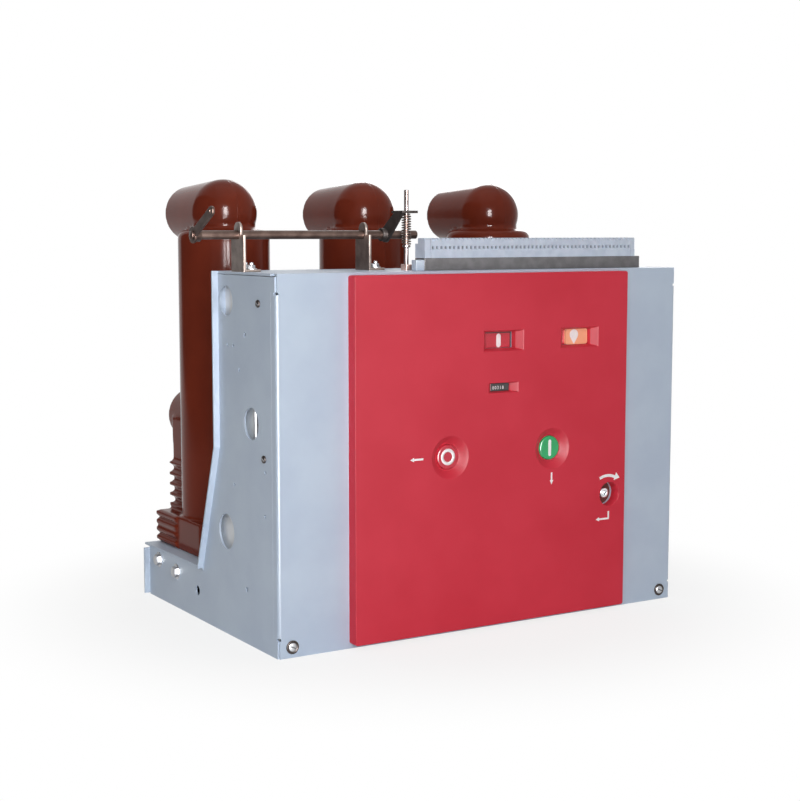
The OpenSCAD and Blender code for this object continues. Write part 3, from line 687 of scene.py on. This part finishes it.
def spring_tree():
    """A wire swept along a helix."""
    tree = bpy.data.node_groups.new("coil_spring", "GeometryNodeTree")
    for name, kind in [("Geometry", "NodeSocketGeometry"), ("Turns", "NodeSocketFloat"),
                       ("Coil radius", "NodeSocketFloat"), ("Wire radius", "NodeSocketFloat"),
                       ("Height", "NodeSocketFloat"), ("Place", "NodeSocketVector"),
                       ("Finish", "NodeSocketMaterial")]:
        tree.interface.new_socket(name, in_out="INPUT", socket_type=kind)
    tree.interface.new_socket("Geometry", in_out="OUTPUT", socket_type="NodeSocketGeometry")
    given = add(tree, "NodeGroupInput").outputs
    helix = add(tree, "GeometryNodeCurveSpiral", {"Resolution": 24, "Rotations": given["Turns"],
                "Start Radius": given["Coil radius"], "End Radius": given["Coil radius"],
                "Height": given["Height"]})
    section = add(tree, "GeometryNodeCurvePrimitiveCircle",
                  {"Resolution": 8, "Radius": given["Wire radius"]})
    wire = add(tree, "GeometryNodeCurveToMesh", {"Curve": helix.outputs["Curve"],
               "Profile Curve": section.outputs["Curve"], "Fill Caps": True})
    placed = add(tree, "GeometryNodeTransform", {"Geometry": wire.outputs["Mesh"],
                 "Translation": given["Place"]})
    real = add(tree, "GeometryNodeRealizeInstances", {"Geometry": placed.outputs["Geometry"]})
    dressed = add(tree, "GeometryNodeSetMaterial", {"Geometry": real.outputs["Geometry"],
                  "Material": given["Finish"]})
    add(tree, "NodeGroupOutput", {"Geometry": dressed.outputs["Geometry"]})
    return tree


coil = bake(bpy.data.meshes.new("seed"), spring_tree(), "spring", **{
    "Turns": TURNS, "Coil radius": (spring_high.x - spring_low.x) / 2 - WIRE * MM,
    "Wire radius": WIRE * MM, "Height": spring_high.z - spring_low.z - 2 * WIRE * MM,
    "Place": spring_foot, "Finish": brown_steel})
piece("push_rod_coil", coil, brown_steel, "push_rod", ["push_rod_spring"])
print("spring has", len(coil.polygons), "faces")

# %% [markdown]
# ## Screws and bolts
# The cover is held at its lower corners by dark slotted screws in cup washers. The foot and the
# brackets have hexagon bolts on plain washers. A hexagon head has its corners turned off at the
# top, so its outline is spun with six sides. Each slot is a bar laid on the head: a dark bar is
# painted shade for the slot of a corner screw, and a bright zinc bar is a painted highlight along
# the slot of a side screw.

# %% Heads


def hexagon(centre, axis, flip, across_flats, height, washer):
    """A hexagon head on a washer, as two shapes."""
    corner_r = across_flats / math.sqrt(3)
    head = [(corner_r, washer), (corner_r, washer + height * 0.78), (corner_r * 0.86, washer + height),
            (0, washer + height + 0.1)]
    disc = [(across_flats * 0.78, 0), (across_flats * 0.78, washer - 0.2), (across_flats * 0.74, washer),
            (0, washer)]
    return [turned(head, centre, axis, 6, 0.3, flip), turned(disc, centre, axis, 32, 0, flip)]


def slot_bar(place, axis, degrees, size):
    """A bar for a screw's slot, of a size in millimetres, turned about an axis. In black it is painted
    shade, in zinc a painted highlight.
    """
    bar = bmesh.new()
    where = Matrix.Translation(place) @ Matrix.Rotation(math.radians(degrees), 4, axis)
    scale = Matrix.Diagonal((*[side * MM for side in size], 1))
    bmesh.ops.create_cube(bar, size=1.0, matrix=where @ scale)
    return bar


# Places as (depth behind the cover, height) on each side, in millimetres
FOOT_BOLTS = [(349, 53), (290, 48)]
SIDE_SCREWS = [(43.5, 406), (32, 228)]
CORNER_X, CORNER_Z = 275, 12.5
BRACKET_NUT_X, BRACKET_FOOT_T, BRACKET_NUT_STEP = 14, 3, 8
half_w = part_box("top_plate")[1].x / MM
for side, sign in [("left", -1), ("right", 1)]:
    shapes = []
    for depth, height in FOOT_BOLTS:
        shapes += hexagon(at(sign * half_w, depth, height), "X", sign, 13, 5, 1.2)
    piece("foot_bolts_" + side, joined(shapes, "foot_bolts"), zinc_and_slot_highlight, smooth=False,
          replaces=["foot_bolts"] if side == "left" else [])
shapes = []
for bracket in ["bracket_left", "bracket_right"]:
    for step in (-BRACKET_NUT_STEP, BRACKET_NUT_STEP):
        place = Vector((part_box(bracket)[0].x + BRACKET_NUT_X * MM, middle_of(bracket).y + step * MM,
                        top_z + BRACKET_FOOT_T * MM))
        shapes += hexagon(place, "Z", 1, 8, 4, 1)
        shapes.append(turned([(2.5, 4), (2.5, 7.4), (2.1, 7.9), (0, 7.9)], place, "Z", 20))
piece("bracket_nuts", joined(shapes, "bracket_nuts"), zinc_and_slot_highlight, smooth=False,
      replaces=["bracket_bolts"])

# Half outlines as (radius, height) in millimetres
CUP = [(8, 0), (8, 0.7), (7.2, 1.5), (6.3, 1.5), (5.6, 0.8), (0, 0.8)]
CORNER_HEAD = [(5.2, 0.6), (5.2, 1.2), (4.2, 1.7), (0, 1.9)]
SIDE_HEAD = [(4.5, 0), (4.5, 1.1), (3.9, 1.9), (0, 2.2)]
cups, heads, slots = [], [], []
for sign in (-1, 1):
    place = at(sign * CORNER_X, 0, CORNER_Z)
    cups.append(turned(CUP, place, "Y", 40, 0, -1))
    heads.append(turned(CORNER_HEAD, place, "Y", 32, 0, -1))
    slots.append(slot_bar(place - Vector((0, 1.75 * MM, 0)), "Y", 25, (8.4, 0.5, 1.3)))
piece("corner_cup_washers", joined(cups, "cups"), black_oxide, replaces=["front_screws"])
piece("corner_screw_heads", joined(heads, "heads"), zinc_and_slot_highlight)
# Painted shade: the dark bar on each corner head stands in for the shade in its slot.
piece("corner_slot_shade", joined(slots, "slots"), slot_shade_and_card_black, smooth=False)

heads, slots = [], []
for sign in (-1, 1):
    for depth, height in SIDE_SCREWS:
        place = at(sign * half_w, depth, height)
        heads.append(turned(SIDE_HEAD, place, "X", 28, 0, sign))
        slots.append(slot_bar(place + Vector((sign * 2.05 * MM, 0, 0)), "X", 20, (0.4, 7.2, 1.2)))
piece("side_screw_heads", joined(heads, "heads"), black_oxide, replaces=["side_screws"])
# Painted highlight: the bright zinc bar on each dark side head stands in for the light along its slot.
piece("side_slot_highlight", joined(slots, "slots"), zinc_and_slot_highlight, smooth=False)
print("screws on the front, sides, foot and brackets are in place")

# %% [markdown]
# ## Fixings at the rear
# The rear wall and the foot's end plate are screwed along their edges. A row of pan heads is one
# head copied with the same row tree, down each edge of the wall and along the end plate.

# %% Rear screws
BOX_DEPTH_MM = 155
tall_rear = at(0, BOX_DEPTH_MM, 0).y
foot_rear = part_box("rear_foot_plate")[1].y
PAN = [(3.6, 0), (3.6, 1.0), (2.8, 1.8), (0, 2.1)]
for side, sign in [("left", -1), ("right", 1)]:
    head = to_mesh(turned(PAN, Vector((sign * 0.278, tall_rear, 0.255)), "Y", 18), "pan")
    rows = bake(head, ROW, "wall_screws", Count=4, Step=(0, 0, 0.053), Finish=zinc_and_slot_highlight)
    piece("wall_screws_" + side, rows, zinc_and_slot_highlight)
head = to_mesh(turned(PAN, Vector((-0.25, foot_rear, 0.034)), "Y", 18), "pan")
rows = bake(head, ROW, "end_screws", Count=6, Step=(0.1, 0, 0), Finish=zinc_and_slot_highlight)
piece("end_plate_screws", rows, zinc_and_slot_highlight)
print("rear wall screws stand on y =", round(tall_rear, 4))

# %% [markdown]
# ## Floor and light
# A round pale table carries a faint shadow near the object and fades to white at its rim, for
# camera, glossy and transmitted rays only, so it adds no light. A tall softbox stands a little
# left of the front and makes the front brighter than the side. A strip that only gloss sees
# gives the upright glint on each pole, and a wide soft light overhead brightens the upper edges.

# %% Floor
FLOOR_RADIUS = 0.85


def seen_directly(tree):
    """1 for camera, glossy and transmitted rays, and 0 for the rays that carry light."""
    rays = add(tree, "ShaderNodeLightPath").outputs
    two = add(tree, "ShaderNodeMath", {0: rays["Is Camera Ray"], 1: rays["Is Glossy Ray"]},
              operation="MAXIMUM")
    return add(tree, "ShaderNodeMath", {0: two.outputs[0], 1: rays["Is Transmission Ray"]},
               operation="MAXIMUM").outputs[0]


floor_shape = bmesh.new()
bmesh.ops.create_circle(floor_shape, cap_ends=True, segments=96, radius=FLOOR_RADIUS)
floor_mesh = bpy.data.meshes.new("floor")
floor_shape.to_mesh(floor_mesh)
floor_shape.free()
floor = put("floor", floor_mesh)
paper = bpy.data.materials.new("matt_white_floor")
paper.use_nodes = True
tree = paper.node_tree
tree.nodes.clear()
where = add(tree, "ShaderNodeTexCoord").outputs["Object"]
far = add(tree, "ShaderNodeVectorMath", {0: where}, operation="LENGTH")
fade = add(tree, "ShaderNodeMapRange", {"Value": far.outputs["Value"], "From Min": 0.3, "From Max": 0.6,
           "To Min": 0.8, "To Max": 1.0}, interpolation_type="SMOOTHSTEP")
share = add(tree, "ShaderNodeMath", {0: seen_directly(tree), 1: fade.outputs["Result"]},
            operation="MULTIPLY")
matt = add(tree, "ShaderNodeBsdfDiffuse", {"Color": linear("#dedede")})
white = add(tree, "ShaderNodeEmission", {"Color": linear("#ffffff"), "Strength": 1.0})
mix = add(tree, "ShaderNodeMixShader",
          {"Fac": share.outputs[0], 1: matt.outputs[0], 2: white.outputs[0]})
add(tree, "ShaderNodeOutputMaterial", {"Surface": mix.outputs[0]})
floor_mesh.materials.append(paper)

# %% World and lamps
world = bpy.data.worlds.new("studio")
bpy.context.scene.world = world
world.use_nodes = True
tree = world.node_tree
tree.nodes.clear()
fill = add(tree, "ShaderNodeBackground", {"Color": linear("#fbf6ee"), "Strength": 0.36})
white = add(tree, "ShaderNodeBackground", {"Color": linear("#ffffff"), "Strength": 1.0})
mix = add(tree, "ShaderNodeMixShader",
          {"Fac": seen_directly(tree), 1: fill.outputs[0], 2: white.outputs[0]})
add(tree, "ShaderNodeOutputWorld", {"Surface": mix.outputs[0]})


def softbox(name, place, target, width, height, watts, colour="#ffffff", gloss_only=False):
    """A rectangular lamp that faces a target. The camera doesn't see it."""
    lamp = bpy.data.lights.new(name, "AREA")
    lamp.shape = "RECTANGLE"
    lamp.size, lamp.size_y, lamp.energy = width, height, watts
    lamp.color = linear(colour)[:3]
    made = put(name, lamp)
    turn = (Vector(target) - Vector(place)).to_track_quat("-Z", "Y")
    made.matrix_world = Matrix.Translation(place) @ turn.to_matrix().to_4x4()
    made.visible_camera = False
    made.visible_diffuse = not gloss_only


softbox("front_softbox", (-0.78, -1.42, 0.66), (0, 0, 0.3), 0.5, 1.15, 14.2, "#f2f8ff")
softbox("glint_strip", (-0.9, -1.95, 0.12), (0, 0, 0.12), 0.48, 2.25, 430, gloss_only=True)
softbox("overhead", (-0.1, -0.2, 2.2), (0, 0, 0.3), 1.6, 1.6, 5)
softbox("rear_fill", (1.6, 2.0, 1.2), (0, 0, 0.3), 1.2, 1.2, 12)

# %% [markdown]
# ### A black card
# In a white room every glossy upright would lose its edge in white. Photographers stand a black
# card out of the picture, and its reflection draws the dark side of each barrel and rod. This one
# stands on the left. Only glossy rays meet it, so it takes no light away.

# %% Black card on the left
card_shape = bmesh.new()
corners = [(-1.7, -0.9, 0.0), (-1.7, 4.2, 0.0), (-1.7, 4.2, 2.2), (-1.7, -0.9, 2.2)]
card_shape.faces.new([card_shape.verts.new(corner) for corner in corners])
card_mesh = bpy.data.meshes.new("black_card")
card_shape.to_mesh(card_mesh)
card_shape.free()
card = put("black_card", card_mesh)
card_mesh.materials.append(slot_shade_and_card_black)
card.visible_camera = False
card.visible_diffuse = False
card.visible_shadow = False
print("four soft lamps and a black card are set")

# %% [markdown]
# ## Camera
# The object is seen from the left front, from a little above its own height, through a long lens,
# which keeps the uprights nearly parallel.

# %% Camera
lens = bpy.data.cameras.new("camera")
lens.lens = 69.1
lens.clip_start = 0.01
eye = put("camera", lens)
eye.matrix_world = (Matrix.Translation((-1.0702, -1.7381, 0.4883))
                    @ Matrix.Rotation(math.radians(-31.433), 4, "Z")
                    @ Matrix.Rotation(math.radians(90 - 6.286), 4, "X"))
bpy.context.scene.camera = eye
bpy.context.scene.view_settings.view_transform = "Standard"
print("camera stands", round(eye.matrix_world.translation.length, 2), "m away")
